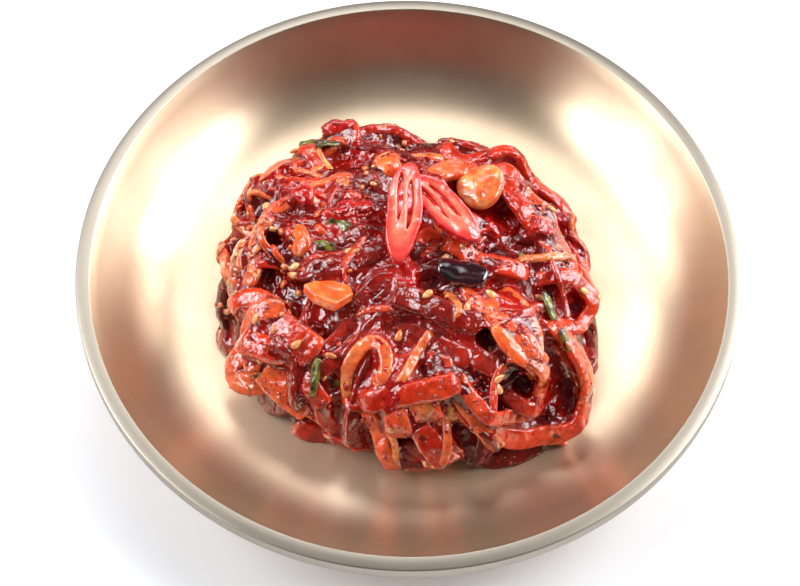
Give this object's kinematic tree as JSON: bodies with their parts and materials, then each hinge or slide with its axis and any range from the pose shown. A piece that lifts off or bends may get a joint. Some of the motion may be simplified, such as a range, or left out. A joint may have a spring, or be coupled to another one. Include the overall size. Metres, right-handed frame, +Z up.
{
  "type": "bowl of kimchi",
  "caption": "Shallow footed bronze bowl holding a heap of glossy seasoned radish kimchi strips, topped with sliced chili, carrot and garlic.",
  "frame": {"origin": "centre of the bowl's foot ring, on the plane it rests on", "axes": "+Z up out of the bowl; -Y towards the diner, the side where the loose front loop of the heap lies; +X to the diner's right"},
  "size_m": [0.17, 0.17, 0.0509],
  "materials": {
    "bronze": "satin, finely brushed round, with small scratches",
    "kimchi": "glossy syrupy chili sauce over translucent radish",
    "chili": "wet, shiny",
    "carrot": "wet, shiny",
    "garlic": "wet, mottled amber",
    "dark_skin": "wet, very shiny"
  },
  "bodies": {
    "root": {"bronze_dish": "bronze", "red_chili_slice_1": "chili", "red_chili_slice_2": "chili", "carrot_slice": "carrot", "garlic_slice": "garlic", "dark_piece": "dark_skin", "kimchi_heap": "kimchi"}
  },
  "joints": []
}
